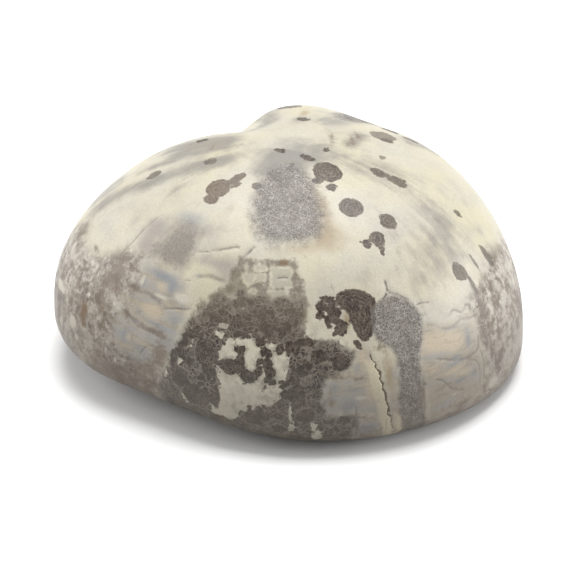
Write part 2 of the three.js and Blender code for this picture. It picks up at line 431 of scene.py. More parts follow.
# %% Dark rosettes
SPOTS = [  # turn, rise, half width, half height, lean, darkness and, for some, how clear the rings are
    (33.5, 69.5, 1.5, 1.7, 20, 0.85, 1.0), (21, 66.5, 0.6, 0.5, 0, 0.8), (27.5, 63, 0.6, 0.55, 0, 0.8),
    (30, 54.5, 1.3, 1.25, 0, 0.85, 1.0), (41, 47, 0.95, 1.05, 0, 0.65, 1.0),
    (27.5, 43, 0.65, 0.6, 0, 0.85), (32.5, 43.5, 0.85, 0.95, 0, 0.75, 1.0), (32, 40.5, 0.35, 0.7, 0, 0.7),
    (73, 37.5, 0.5, 0.6, 0, 0.5), (65, 60.5, 0.8, 1.0, 0, 0.5), (66, 55, 0.75, 1.2, 0, 0.55),
    (69.5, 53.5, 0.25, 0.35, 0, 0.5), (83, 62, 0.45, 0.45, 0, 0.35), (113, 59, 1.3, 1.5, 0, 0.35),
    (66, 77.5, 0.5, 0.4, 0, 0.6), (29, 78, 0.5, 1.1, -30, 0.75), (-20, 83, 0.7, 0.5, 0, 0.75),
    (3, 75, 0.35, 0.5, 0, 0.7), (-21, 64.5, 0.5, 0.75, 0, 0.75), (-41.5, 59.5, 1.35, 1.3, 0, 0.7, 1.0),
    (-40, 55.5, 0.9, 0.6, 0, 0.7, 1.0), (-36.8, 65.5, 0.55, 1.2, 20, 0.65), (-34, 63, 0.45, 0.6, 0, 0.65),
    (-80.5, 50, 0.75, 0.9, 0, 0.4), (-70, 65.5, 0.6, 0.8, 0, 0.25), (165, 73, 0.8, 0.6, 0, 0.6),
    (54, 27.5, 1.0, 1.05, 0, 0.5), (56, 23.5, 0.3, 1.2, 0, 0.4), (69.5, 25, 0.6, 1.5, 0, 0.4),
    (62, 27, 0.25, 1.4, 0, 0.3),
    # the double rosette beside the grey circle
    (8.3, 27.2, 0.5, 0.5, 0, 1.0), (8.6, 29.2, 0.42, 0.65, 0, 1.0), (10.8, 31, 0.8, 0.4, 0, 1.0),
    (10, 29.2, 0.35, 0.6, 0, 1.0), (11.6, 28.2, 0.42, 0.8, 0, 1.0), (10.4, 25.6, 0.36, 0.7, 0, 1.0),
    (11.5, 22.4, 0.28, 0.28, 0, 0.9), (13.2, 27.3, 0.36, 0.8, 0, 0.9), (12.5, 30, 0.4, 0.4, 0, 0.9),
    (13.7, 24, 0.7, 0.95, 0, 0.9), (12.1, 25.5, 0.36, 0.6, 0, 0.9), (17.4, 19.6, 0.34, 0.65, -35, 0.85),
    # in the umber foot of the front ray
    (-21.3, 16.3, 1.35, 1.45, 0, 0.9, 1.0), (-23.2, 21.6, 1.5, 0.7, -25, 0.2, 0.9),
    (-20.5, 11.6, 0.95, 0.7, 0, 0.95), (-20.7, 8, 1.25, 1.2, 0, 0.85, 0.4), (-24, 4.2, 1.7, 1.2, 0, 0.85),
    (-18.6, 5, 0.55, 1.3, 0, 0.9), (-28.7, 8, 1.0, 1.2, 0, 0.8), (-28.7, 15.5, 0.45, 1.0, 0, 0.8),
    (-26.5, 13.2, 0.6, 0.6, 0, 0.85), (-12.6, 18.7, 0.72, 0.42, 0, 1.0), (-12.1, 17.2, 0.42, 0.5, 0, 1.0),
    (-12.3, 15.6, 0.6, 0.6, 0, 1.0), (-14.7, 14, 1.05, 0.95, 0, 1.0, 0.7), (-12, 13.9, 0.6, 0.6, 0, 1.0),
    (-18.3, 14.3, 0.35, 0.4, 0, 0.9), (-10.3, 12, 0.85, 0.78, 0, 1.0, 0.7),
    (-8.4, 11.5, 0.36, 0.3, 0, 0.9), (-7.2, 20.8, 0.7, 0.45, 0, 1.0), (-6.2, 18.5, 0.5, 0.65, 0, 1.0),
    (-4.9, 18.2, 0.45, 0.6, 0, 1.0), (-7.3, 16, 0.55, 0.42, 0, 1.0), (-5.1, 16, 0.55, 0.6, 0, 1.0),
    (-7.3, 13.9, 0.52, 0.7, 0, 1.0), (-4.6, 13.8, 0.62, 0.75, 0, 1.0, 0.7),
    (-5.6, 11.6, 0.36, 0.5, 0, 0.9), (-3.8, 11, 0.42, 0.42, 0, 0.9), (-6, 9.6, 0.22, 0.4, 0, 0.8),
    (-2.3, 19.4, 0.6, 0.5, 0, 0.95), (0.9, 19.5, 0.8, 0.8, 0, 0.95), (1.6, 16.3, 0.7, 1.0, 0, 0.9),
    (-1, 10.8, 0.6, 0.4, 0, 0.9), (-0.5, 8, 0.55, 0.55, 0, 0.85), (-2.4, 3.6, 0.8, 1.0, 0, 0.95, 0.9),
    (-8, 1.2, 1.5, 0.9, -10, 0.95), (-9.6, 4, 0.3, 0.2, 0, 0.9), (-6, 4.7, 0.3, 0.25, 0, 0.9),
    (-2.5, -1.5, 0.7, 0.6, 0, 0.9), (9.4, -2.9, 0.5, 0.8, 0, 0.95), (13.2, 0.8, 0.7, 0.5, 0, 0.85),
    (13.5, -3.3, 0.6, 0.5, 0, 0.85), (12.8, 15.7, 1.0, 0.95, 0, 0.85, 0.2),
    (7.5, 17.5, 1.0, 0.8, 0, 0.85), (3.5, 15, 0.9, 1.1, 0, 0.85), (1.4, 18.3, 0.4, 0.9, 0, 0.85),
    (4.5, 21, 1.2, 0.5, 0, 0.8), (1.5, 13, 0.5, 1.0, 0, 0.8), (2.2, 7.5, 0.9, 1.4, 0, 0.65),
    (4, 2.5, 0.9, 0.9, 0, 0.7), (-3.5, 24.5, 1.6, 1.0, 0, 0.06, 0.8), (-12, 24.5, 1.6, 1.3, 0, 0.08, 0.9),
    (-18.5, 25, 1.2, 1.1, 0, 0.06, 0.9), (-27, 19, 0.6, 1.0, 0, 0.6), (-30.5, 12, 0.5, 1.4, 0, 0.6),
    (-7, 28, 1.2, 0.8, 0, 0.03, 0.9), (-17.5, -1.5, 1.4, 0.5, 0, 0.7),
]
FAINT_RINGS = 0.35  # where a rosette doesn't say
chance = random.Random(11)


def spot_by_chance(turn, size_range, rise_range, darkness_range):
    """A rosette at a turn, with the rest drawn by chance."""
    size = chance.uniform(*size_range)
    rise = chance.uniform(*rise_range)
    half_height = size * chance.uniform(0.8, 1.2)
    lean = chance.uniform(-40, 40)
    return turn, rise, size, half_height, lean, chance.uniform(*darkness_range)


for step in range(14):  # all round the back
    turn = 110 + step * 140 / 13 + chance.uniform(-5, 5)
    SPOTS.append(spot_by_chance(turn, (0.4, 1.5), (24, 62), (0.4, 0.9)))
for step in range(26):  # in the two umber feet of the back
    turn = chance.choice((146, -148)) + chance.uniform(-17, 17)
    SPOTS.append(spot_by_chance(turn, (0.7, 1.8), (-8, 24), (0.65, 0.95)))
big_lobe = patch([
    (13.3, 30.9), (14.5, 32.4), (17, 32.9), (19.5, 32.6), (22, 31.5), (24, 30), (24.2, 28.4),
    (23.6, 26.6), (23.2, 24.4), (22.4, 22.4), (20.8, 20.6), (19.2, 20), (18, 20.8), (17, 22.6),
    (16.4, 25), (15.6, 27.4), (13.8, 29.2),
], reach=3.0)
spot = big_lobe.copy()
spot_tone = np.ones(count)
spot_rings = np.ones(count)
for turn, rise, half_width, half_height, lean, darkness, *rings in SPOTS:
    inside = (1 - oval(turn, rise, half_width, half_height, lean)) * math.sqrt(half_width * half_height)
    nearer = inside > spot
    spot_tone[nearer] = darkness**0.35
    spot_rings[nearer] = rings[0] if rings else FAINT_RINGS
    spot = np.maximum(spot, inside)
spot_warm = 0.6 * (oval(-39, 59.5, 3.4, 3.4) < 1)  # the rosettes on the left of the dome are warmer
print("dark rosettes:", len(SPOTS))

# %% Rosettes like flowers, with pale strokes between their petals
FLOWERS = [  # turn, rise, radius
    (-20.7, 8, 1.25), (-22.4, 22.3, 0.95), (1.6, 16.8, 0.9), (-2.4, 3.6, 0.75), (143, 11, 1.3),
    (-146, 9, 1.2),
]
petal_across = np.zeros(count)  # how far each point is across and up from a flower's middle, in its radii
petal_up = np.full(count, 3.0)
for turn, rise, radius in FLOWERS:
    offset = (points - np.array(place(turn, rise)) / MM) / radius
    across, up = ways_along(turn, rise)
    inside = np.linalg.norm(offset, axis=1) < 1.6
    petal_across[inside] = (offset @ across)[inside]
    petal_up[inside] = (offset @ up)[inside]
print("flowers:", len(FLOWERS))

# %% Chalcedony: millimetres inside the nearest of its fields
CHALCEDONY_FIELDS = [
    [(-46, 33), (-40, 33.5), (-34, 33), (-30, 28), (-29, 24), (-30, 19), (-32, 13), (-36, 8), (-42, 8),
     (-49, 11), (-50, 17), (-47, 22), (-46, 28)],
    [(16, 18), (19.5, 18), (21.5, 13), (22.8, 8), (24, 3), (26.5, 14), (26.5, -8), (16, -10), (15, -3),
     (16.5, 2), (9, 3), (8, 8), (9.5, 11.5), (12, 13), (15.8, 14.2)],
    [(33.5, 18.5), (37, 20), (41, 18), (45, 17.5), (50, 17.3), (51, 14), (51, 9), (51, 5), (51, 0),
     (51.5, -8), (34, -8), (33.8, 0), (33.5, 8)],
    [(106, 20), (114, 24), (122, 22), (125, 14), (125, 4), (116, -6), (107, -6), (105, 8)],
    [(170, 20), (180, 23), (188, 21), (191, 14), (190, 2), (186, -6), (173, -6), (170, 4)],
    [(-118, 19), (-112, 22), (-104, 20), (-102, 10), (-103, -4), (-112, -8), (-120, -4), (-121, 8)],
]
plate = np.maximum.reduce([patch(outline, reach=2.0) for outline in CHALCEDONY_FIELDS])
print("chalcedony covers", round(float((plate > 0).mean()), 3), "of the surface")

# %% Clouds of colour, each (turn, rise, half width, half height, strength)
blue = soft_ovals([  # where the chalcedony is bluest
    (-39, 31.3, 1.5, 0.5, 1.0), (-35.2, 29.5, 0.5, 1.1, 0.8), (-44, 28, 0.5, 0.9, 0.4),
    (-43.3, 21.3, 0.6, 0.8, 0.7), (-37.5, 19.5, 1.8, 0.35, 0.8), (-32, 21.5, 0.6, 0.8, 0.6),
    (-46, 14, 0.9, 1.3, 0.6), (-41.5, 12, 1.0, 0.8, 0.6), (-41, 48, 2.6, 1.0, 0.42),
    (-28, 34.4, 0.6, 0.3, 0.6), (16.7, 14, 0.5, 0.7, 0.9), (15, 8.7, 1.2, 0.35, 0.9),
    (14.5, 5, 1.0, 0.5, 0.8), (11, 9, 0.7, 0.9, 0.7), (19, -2.5, 1.0, 0.9, 0.8), (13.7, 3, 0.4, 0.3, 0.7),
    (23.2, 14.6, 0.3, 0.5, 0.7), (47.6, 13, 0.5, 1.4, 1.0), (43, 10.2, 1.2, 0.3, 0.9),
    (43, 17, 1.5, 0.25, 0.8), (42.5, 8.7, 1.4, 0.2, 0.8), (45.5, 7, 1.3, 0.25, 0.8),
    (43.5, 4, 1.2, 0.35, 0.9), (48, 4.2, 0.6, 0.7, 0.8), (29, 23.5, 1.0, 1.4, 0.3),
    (112, 16, 1.0, 1.2, 0.8), (120, 5, 1.8, 0.5, 0.8), (176, 16, 1.0, 1.2, 0.8), (186, 4, 1.8, 0.5, 0.8),
    (-115, 15, 1.0, 1.2, 0.8), (-107, 2, 1.8, 0.5, 0.8),
])
peach = soft_ovals([
    (-38.7, 29, 0.7, 0.5, 0.7), (-39, 22.5, 1.4, 0.75, 0.9), (-45, 13.6, 0.4, 0.5, 0.6),
    (20, 8, 0.7, 1.6, 0.8), (18.2, 16.5, 0.7, 0.8, 0.6), (39.5, 14.8, 2.2, 1.1, 1.0),
    (43, 13.5, 1.4, 0.9, 1.0), (36, 16, 1.0, 0.8, 0.8), (42.5, 7, 1.5, 0.3, 0.9),
    (44.5, 5.6, 1.2, 0.3, 0.9), (35.5, 9.3, 1.0, 0.5, 0.7), (118, 18, 1.6, 1.2, 0.9),
    (181, 16, 1.8, 1.3, 0.9), (-110, 15, 1.4, 1.2, 0.9), (114, 7, 1.8, 0.8, 0.7), (179, 6, 1.8, 0.8, 0.7),
])
brown = soft_ovals([
    (-54.5, 30, 1.0, 2.2, 0.6), (-52, 27, 1.0, 1.4, 0.55), (-49.5, 31.5, 0.5, 1.8, 0.65),
    (-47, 26.5, 1.2, 0.5, 0.75), (-56.5, 24, 0.9, 2.2, 0.65), (-51, 24, 1.7, 0.9, 0.55),
    (-54, 17, 2.0, 2.2, 0.45), (-66, 18, 1.2, 2.0, 0.5), (-60.7, 23.5, 0.3, 1.2, 0.7),
    (-47, 19.3, 0.9, 0.6, 0.7), (-38, 17.5, 2.4, 0.35, 0.8), (-35, 12, 1.2, 2.0, 0.8),
    (-39, 6, 2.0, 1.8, 0.7), (-54, 6, 1.6, 0.8, 0.6), (-52, 2, 3.4, 1.5, 0.7), (-42, -1, 3.0, 1.2, 0.7),
    (-66.5, 28.3, 0.8, 0.35, 0.8), (-62, 27, 0.8, 0.5, 0.6), (-73, 27.2, 0.4, 0.6, 0.5),
    (-78, 28, 0.9, 0.8, 0.6), (-72, 20.6, 2.0, 0.4, 0.7), (-72, 8, 0.8, 1.6, 0.6),
    (-66, 13, 0.9, 1.2, 0.5), (-76, 5, 1.4, 0.7, 0.6), (-55, 19, 1.4, 1.6, 0.4), (-53, 13, 0.8, 0.5, 0.5),
    (17.3, 11.2, 0.9, 0.3, 0.7), (24, 13, 0.5, 2.6, 0.35), (23, 17.8, 0.8, 0.4, 0.7),
    (36.7, 22.6, 0.4, 0.3, 0.6), (37, 20, 0.5, 0.3, 0.4), (33.4, 6.5, 0.3, 0.3, 0.9),
    (39, 4.3, 1.0, 0.35, 0.5), (45, -2.5, 1.6, 0.6, 0.6), (42, -4.5, 3.0, 0.5, 0.7),
    (48, 9, 1.2, 0.15, 0.6), (56, 18, 0.4, 1.2, 0.8), (56.5, 12, 0.6, 1.0, 0.7),
    (52.5, 12.5, 0.7, 1.0, 0.5), (59.5, 8, 0.6, 1.0, 0.8), (62, -3, 2.6, 1.0, 0.6),
    (70, 12, 1.6, 2.4, 0.4), (88, 72, 0.9, 0.35, 0.7), (98, 70.5, 1.2, 0.35, 0.75),
    (108, 68, 1.4, 0.35, 0.6), (92, 77, 1.4, 0.35, 0.6), (108, 76, 1.2, 0.4, 0.5),
    (-90, 76, 0.9, 0.3, 0.5), (-95, 67, 1.2, 0.35, 0.5), (-108, 58, 0.4, 1.6, 0.5),
    (12, 12.2, 1.5, 0.4, 0.6), (10, 6, 0.5, 1.6, 0.5), (3.3, 27, 0.7, 1.4, 0.5),
    (-25, 27.5, 0.5, 1.4, 0.5), (104, 14, 1.0, 4.0, 0.6), (130, 12, 1.4, 4.0, 0.6),
    (166, 10, 1.4, 4.0, 0.6), (-165, 12, 1.6, 4.0, 0.6), (-126, 10, 1.4, 4.0, 0.6),
    (-98, 12, 1.4, 4.0, 0.6),
])
# the brown near the base is partly the stone's own colour and partly painted shade of the underside
brown = np.maximum(brown, 0.55 * blend(rises, 4, -8))  # the foot is brown all round
rust = soft_ovals([
    (-60.3, 14.5, 0.6, 1.2, 1.0), (-60, 11.3, 0.4, 0.7, 0.8), (-56, 3, 1.4, 0.8, 0.5),
    (-50, 0, 1.6, 0.8, 0.4), (-64.5, 16.2, 0.3, 0.2, 0.8), (-62.5, 22.3, 0.5, 0.25, 0.5),
    (-1.4, 40.7, 0.6, 0.4, 1.0), (13.8, 24, 0.4, 0.6, 0.35), (3.3, 3, 0.8, 0.9, 0.35),
    (33, 3, 0.3, 1.3, 0.6), (-128, 30, 0.5, 0.7, 0.5), (161, 22, 0.4, 0.8, 0.5),
])
lilac = soft_ovals([
    (-50.5, 41, 1.8, 2.0, 0.75), (-49.5, 36.5, 1.4, 0.9, 0.7), (-38.5, 46, 2.2, 0.9, 0.7),
    (-31, 47, 1.8, 1.2, 0.4), (-24, 38.5, 2.4, 0.8, 0.5), (-19.5, 37, 1.2, 2.2, 0.5),
    (38, 2, 1.2, 1.2, 0.8), (20, -1.5, 1.2, 1.0, 0.6), (18, 11, 1.0, 0.35, 0.6), (45, -1, 2.0, 0.8, 0.5),
    (-69, 22, 1.0, 0.7, 0.5), (-71, 18.5, 1.2, 0.5, 0.6), (59, 19, 0.9, 1.0, 0.5),
    (120, 24, 2.0, 1.4, 0.5), (176, 26, 2.0, 1.4, 0.5), (-112, 26, 2.0, 1.4, 0.5),
])
pale = soft_ovals([
    (-74, 14.3, 1.7, 0.6, 1.0), (-64, 9.5, 0.85, 0.9, 0.9), (-77, 23.5, 0.5, 0.6, 0.8),
    (-64.5, 25.5, 0.6, 0.5, 0.7), (-70, 7, 0.8, 0.9, 0.7), (-62, 6.5, 0.6, 0.5, 0.7),
    (-58.5, 5.5, 0.25, 0.35, 1.0), (-60.2, 18.8, 0.25, 0.35, 1.0), (-51, 20.2, 0.26, 0.26, 1.0),
    (-49.3, 19.6, 0.2, 0.2, 1.0), (-48.5, 6, 0.3, 0.45, 0.9), (-53.6, 33.6, 0.35, 0.3, 0.9),
    (-56.5, 17.5, 0.2, 0.2, 0.9), (-45, 28.7, 0.35, 0.8, 0.8), (-38, 26.7, 1.2, 0.3, 0.7),
    (-31, 28, 1.3, 0.7, 0.8), (41.6, 1, 0.4, 0.25, 0.8), (34.4, 0, 0.25, 0.9, 0.8),
    (34, 3.9, 0.14, 0.12, 1.0), (55.7, -2, 1.0, 0.75, 1.0), (58.3, 27, 0.8, 0.9, 0.7),
    (58, 23, 0.7, 0.6, 0.7), (60.5, 18.5, 0.6, 0.7, 0.7), (59, 14, 0.5, 0.6, 0.5),
    (17.5, 6.3, 1.5, 0.4, 0.55), (19, 1.5, 1.2, 0.5, 0.5), (14, 4.4, 0.8, 0.25, 0.45),
    (11.5, 7, 0.7, 0.3, 0.4), (47, 5.2, 1.2, 0.2, 0.5), (45, 11.6, 1.0, 0.2, 0.5),
    (24.6, -1.5, 0.3, 1.0, 0.6), (11.4, 17.3, 0.1, 0.1, 0.9), (-5.2, 7.5, 0.12, 0.12, 1.0),
    (69, 20, 0.7, 0.7, 0.6), (77, 14, 0.8, 0.8, 0.6), (65, 3, 0.8, 0.6, 0.6), (140, 30, 1.0, 0.8, 0.5),
    (-140, 24, 1.0, 0.8, 0.5),
])
stain = soft_ovals([
    (15.5, 56, 1.2, 2.6, 0.85), (13.5, 49.5, 1.8, 1.4, 0.6), (7, 44.6, 4.4, 1.0, 0.5),
    (20, 46.5, 3.0, 1.6, 0.3), (14, 46.5, 1.2, 0.8, 0.6), (15, 62, 1.0, 1.6, 0.4),
    (3, 28.5, 1.1, 1.5, 0.75), (-20, 30.3, 1.1, 0.7, 0.4), (168, 66.5, 0.6, 1.6, 0.7),
    (15.4, 25.5, 0.35, 1.1, 0.9), (-27.5, 55, 0.6, 1.2, 0.3), (-106, 64, 3.0, 4.0, 0.3),
    (24.6, 11, 0.7, 2.6, 0.8), (25.4, 3, 0.5, 2.0, 0.5), (34.5, 14, 0.8, 1.2, 0.4),
    (200, 40, 3.0, 2.0, 0.4),
])
wash = soft_ovals([
    (30, 84, 3.0, 3.0, 0.5), (-112, 46, 2.6, 3.0, 0.3), (70, 60, 2.4, 4.0, 0.4), (103, 73, 2.4, 1.8, 0.3),
    (57, 38, 3.0, 2.5, 0.6), (45, 34, 3.2, 2.0, 0.45), (40, 30, 1.6, 1.2, 0.3), (62, 44, 2.0, 2.4, 0.4),
    (-60, 52, 1.0, 1.5, 0.3), (150, 66, 1.6, 4.0, 0.4), (168, 74, 1.0, 1.6, 0.6),
    (-164, 60, 0.8, 3.5, 0.6), (-176, 55, 1.2, 1.4, 0.4), (-145, 55, 2.0, 4.0, 0.4),
    (130, 40, 3.0, 4.0, 0.35), (170, 34, 3.0, 3.0, 0.3),
])

# %% Soft grey bands along the rays
RAY_BANDS = [  # half width, strength, places along the middle
    (2.0, 0.8, [(-112, 78), (-106, 70), (-105, 62), (-108, 54), (-113, 48)]),
    (1.7, 0.6, [(-92, 78), (-93, 68), (-94, 58), (-97, 50)]),
    (1.2, 0.7, [(-50, 82), (-63, 70), (-70, 60), (-76, 50), (-80, 42), (-83, 33), (-86, 26)]),
    (0.8, 0.5, [(-86, 60), (-89, 50), (-90, 42)]),
    (2.6, 0.6, [(-98, 42), (-95, 34), (-93, 26)]),
    (1.5, 0.5, [(60, 82), (61, 72), (63, 62), (65, 52)]),
    (0.9, 0.6, [(80, 74), (95, 71), (107, 68), (120, 63)]),
    (2.3, 1.0, [(-10, 66), (-8, 72), (0, 79), (30, 86)]),
    (1.6, 0.65, [(20, 72), (35, 78), (60, 80), (90, 82)]),
    (2.2, 0.5, [(42, 36), (50, 33), (60, 36)]),
    (1.2, 0.7, [(-172, 50), (-166, 62), (-160, 76)]),
    (1.6, 0.6, [(150, 36), (147, 50), (143, 66), (140, 78)]),
    (1.3, 0.6, [(118, 30), (115, 44), (112, 56)]),
    (1.4, 0.6, [(-150, 34), (-146, 48), (-140, 64), (-135, 76)]),
    (1.2, 0.5, [(176, 28), (172, 40), (168, 52)]),
]
for half_width, strength, line_places in RAY_BANDS:
    close, side, along = beside(on_surface(line_places), half_width * 2.2)
    ends = blend(along, 0.0, 0.25) * blend(along, 1.0, 0.75)
    wash[close] = np.maximum(wash[close], strength * ends * blend(np.abs(side), half_width * 2, 0))
print("washed share of the surface:", round(float((wash > 0.3).mean()), 3))

# %% Mottled stone low down on both sides, behind and underneath
left_mottle = patch([
    (-82, 30), (-77, 29.5), (-70, 27), (-63, 28.5), (-58, 32), (-50, 34.5), (-46, 33), (-43, 27),
    (-40, 20), (-33, 19), (-31, 10), (-33, 0), (-34, -14), (-98, -14), (-98, 5), (-90, 20),
])
right_mottle = patch([
    (50, 20), (57, 23), (63, 24), (70, 26), (78, 24), (88, 22), (100, 15), (100, -14), (35, -14),
    (36, -2), (50, -1), (51, 10),
])
behind = blend(rises, 22, 6) * blend(np.abs(turns), 92, 104)
underneath = blend(rises, -8, -16)
mottle_sides = blend(np.maximum(left_mottle, right_mottle), -0.8, 1.2)
mottle = np.maximum.reduce([mottle_sides, 0.8 * behind, 0.9 * underneath])
print("mottled share of the surface:", round(float((mottle > 0.5).mean()), 3))

# %% Seams and crack as fields
SEAM_REACH = 0.6  # how far from its edge a seam's field goes
SEAM_SCALE = 0.25  # the width of every seam as its field gives it, whatever its own width
seam_side = np.full(count, SEAM_REACH)
seam_ink = np.zeros(count)
nearest = np.full(count, SEAM_REACH)
for width, ink, line in seam_lines:
    close, side, along = beside(line, 1.2)
    ends = blend(along, 0.0, 0.12) * blend(along, 1.0, 0.88)
    beyond = np.abs(side) - width / 2
    better = beyond < nearest[close]
    chosen = close[better]
    nearest[chosen] = beyond[better]
    seam_side[chosen] = side[better] * SEAM_SCALE / width
    seam_ink[chosen] = (ink * ends * blend(beyond, 0.45, 0.2))[better]
crack_side = np.full(count, 2.0)
crack_along = np.zeros(count)
close, side, along = beside(crack_line, 2.0)
crack_side[close] = side
crack_along[close] = along
jagged = [noise.noise(Vector(p) * 1.7) + 0.5 * noise.noise(Vector(p) * 4.5) for p in points[close]]
crack_side[close] += 0.24 * np.array(jagged)
crack_width = 0.04 + 0.09 * blend(crack_along, 0.05, 0.5) * blend(crack_along, 1.0, 0.8)
print("points near the crack:", int((np.abs(crack_side) < 0.5).sum()))

# %% [markdown]
# ## Relief
# Sea wear leaves low swells, the seams are etched a little and the crack is a narrow cleft. The points are
# moved along their normals, as a sculptor's brush would, so all of this is in the mesh itself.

# %% Move the points
def swell(size, seed):
    """Smooth noise of about the given size in millimetres, from -1 to 1."""
    shift = Vector((seed * 17.3, seed * 5.1, seed * 9.7))
    return np.array([noise.noise(Vector(p) / size + shift) for p in points])


free = blend(points[:, 2], 0.0, 2.5)
SWELLS = [(0.16, 9.0, 1), (0.07, 3.6, 2), (0.02, 1.3, 3)]  # height and size in millimetres, and seed
SEAM_DEPTH = 0.06
ROSETTE_DEPTH = 0.03
GAP_HEIGHT = 0.03
LIP_HEIGHT = 0.05
CRACK_DEPTH = 0.15
height = free * sum(most * swell(size, seed) for most, size, seed in SWELLS)
height -= SEAM_DEPTH * seam_ink * np.exp(-((seam_side / 0.2) ** 2))
height -= ROSETTE_DEPTH * blend(spot, -0.1, 0.25) * spot_tone
height += GAP_HEIGHT * blend(gap, -0.1, 0.4)
lip = np.exp(-(((crack_side - 0.5) / 0.6) ** 2)) * blend(crack_along, 0.15, 0.4)
lip += 0.8 * np.exp(-(((crack_side + 0.7) / 0.4) ** 2)) * blend(crack_along, 0.75, 0.95)
height += LIP_HEIGHT * lip
cleft = np.clip(1 - np.abs(crack_side) / crack_width, 0, 1)
height -= CRACK_DEPTH * cleft**0.8 * blend(crack_width, 0.03, 0.1)
co += normals * (height * MM)[:, None]
co[:, 2] = np.maximum(co[:, 2], 0)
skin.vertices.foreach_set("co", co.ravel())
skin.polygons.foreach_set("use_smooth", np.ones(len(skin.polygons), bool))
skin.update()
print("relief from", round(float(height.min()), 2), "to", round(float(height.max()), 2), "mm")

# %% Make the finished piece and give it its fields
fossil = bpy.data.objects.new("fossil_urchin", skin)
scene.collection.objects.link(fossil)


def keep(name, values):
    """Stores a field on the skin for the shader."""
    field = skin.attributes.new(name, "FLOAT", "POINT")
    field.data.foreach_set("value", np.asarray(values, np.float32))


FIELDS = {
    "grain": grain,
    "umber": umber,
    "gap": gap,
    "small_net": small_net,
    "small_plate": small_plate,
    "spot": spot,
    "spot_tone": spot_tone,
    "spot_warm": spot_warm,
    "spot_rings": spot_rings,
    "petal_across": petal_across,
    "petal_up": petal_up,
    "blue": blue,
    "peach": peach,
    "plate": plate,
    "brown": brown,
    "low": blend(rises, 30, -4),
    "grain_tone": grain_tone,
    "grain_calm": 0.6 * ((turns < -20) & (turns > -70)),
    "rust": rust,
    "lilac": lilac,
    "pale": pale,
    "stain": stain,
    "wash": wash,
    "mottle": mottle,
    "seam_side": seam_side,
    "seam_ink": seam_ink,
    "crack": np.abs(crack_side) / crack_width,
    "lip": lip,
}
for name, values in FIELDS.items():
    keep(name, values)
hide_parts("urchin_test")
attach(fossil, "root")
print("fields kept:", len(FIELDS))

# %% [markdown]
# ## The stone's finish
# One material holds all of it, as one stone does. The stains could be painted on an image, but an image has
# seams and a fixed sharpness. Laid out by fields they have neither. Each stain goes over the last, with
# noise on its edges, and the fine patterns come from procedural textures in the stone's own millimetres.

# %% The material, and a short way to write its nodes
stone = bpy.data.materials.new("fossil_stone")
stone.use_nodes = True
tree = stone.node_tree
tree.nodes.clear()


def node(kind, inputs=None, **settings):
    """Adds a node to the material, sets it up and links or fills its inputs."""
    made = tree.nodes.new("ShaderNode" + kind)
    for name, value in settings.items():
        setattr(made, name, value)
    for name, value in (inputs or {}).items():
        if isinstance(value, bpy.types.NodeSocket):
            tree.links.new(value, made.inputs[name])
        else:
            made.inputs[name].default_value = value
    return made


# %% Numbers, vectors and colours
def maths(operation, a, b=0.0, c=0.0):
    """The result of a Math node."""
    return node("Math", {0: a, 1: b, 2: c}, operation=operation).outputs[0]


def times(a, b):
    """The product of two values."""
    return maths("MULTIPLY", a, b)


def plus(a, b, factor):
    """a, and b times the factor."""
    return maths("MULTIPLY_ADD", b, factor, a)


def ramped(value, start, end, low=0.0, high=1.0):
    """low at start, high at end, smooth between."""
    inputs = {"Value": value, "From Min": start, "From Max": end, "To Min": low, "To Max": high}
    return node("MapRange", inputs, interpolation_type="SMOOTHSTEP").outputs["Result"]


def scaled(vector, by):
    """A vector or colour times a number, or axis by axis times three."""
    if isinstance(by, tuple):
        return node("VectorMath", {0: vector, 1: by}, operation="MULTIPLY").outputs[0]
    return node("VectorMath", {0: vector, "Scale": by}, operation="SCALE").outputs[0]


def moved(vector, by):
    """A vector and another added to it."""
    return node("VectorMath", {0: vector, 1: by}, operation="ADD").outputs[0]


def mixed(factor, a, b):
    """Colour a where the factor is 0, and b where it is 1."""
    made = node("Mix", data_type="RGBA")
    for socket, value in (("Factor_Float", factor), ("A_Color", a), ("B_Color", b)):
        target = next(s for s in made.inputs if s.identifier == socket)
        if isinstance(value, bpy.types.NodeSocket):
            tree.links.new(value, target)
        else:
            target.default_value = value
    return next(s for s in made.outputs if s.identifier == "Result_Color")


# %% Fields and textures
def field(name):
    """The value of one of the skin's fields."""
    return node("Attribute", attribute_name=name).outputs["Fac"]


mm = scaled(node("TexCoord").outputs["Object"], 1 / MM)  # each place in the stone, in millimetres


def cloud(size, detail=2.0, roughness=0.5, shift=0.0, where=mm):
    """Noise from 0 to 1 with lumps of about the given size in millimetres."""
    inputs = {"Vector": where, "Scale": 1 / size, "Detail": detail, "Roughness": roughness, "W": shift}
    return node("TexNoise", inputs, noise_dimensions="4D").outputs["Fac"]


def cells(scale, where, feature="F1"):
    """The distance to the middle of the nearest of many cells, or to its edge."""
    return node("TexVoronoi", {"Vector": where, "Scale": scale}, feature=feature).outputs["Distance"]


def lines(value, each, start):
    """A thin line wherever the value has grown by one step."""
    return ramped(maths("SINE", times(value, 2 * math.pi / each)), start, 1.0)


print("fields and textures measured in mm")

# %% Wandering edges
wobble = maths("SUBTRACT", cloud(1.1), 0.5)
fine_wobble = maths("SUBTRACT", cloud(0.35), 0.5)


def wavering(value, coarse, fine=0.0):
    """The value with noise of about a millimetre added, and some finer noise."""
    if fine:
        value = plus(value, fine_wobble, fine)
    return plus(value, wobble, coarse)


# %% Colours as they look
STONE_GREY = 0.47  # the tent is bright, so the stone itself is darker than it looks


def shade(red, green, blue_part):
    """A colour as it looks in the tent, on a card from 0 to 255, turned to the linear light of shaders."""
    card = (red / 255, green / 255, blue_part / 255)
    return tuple(STONE_GREY * ((part + 0.055) / 1.055) ** 2.4 for part in card) + (1.0,)


print("the stone gives back", STONE_GREY, "of the light of a white card")

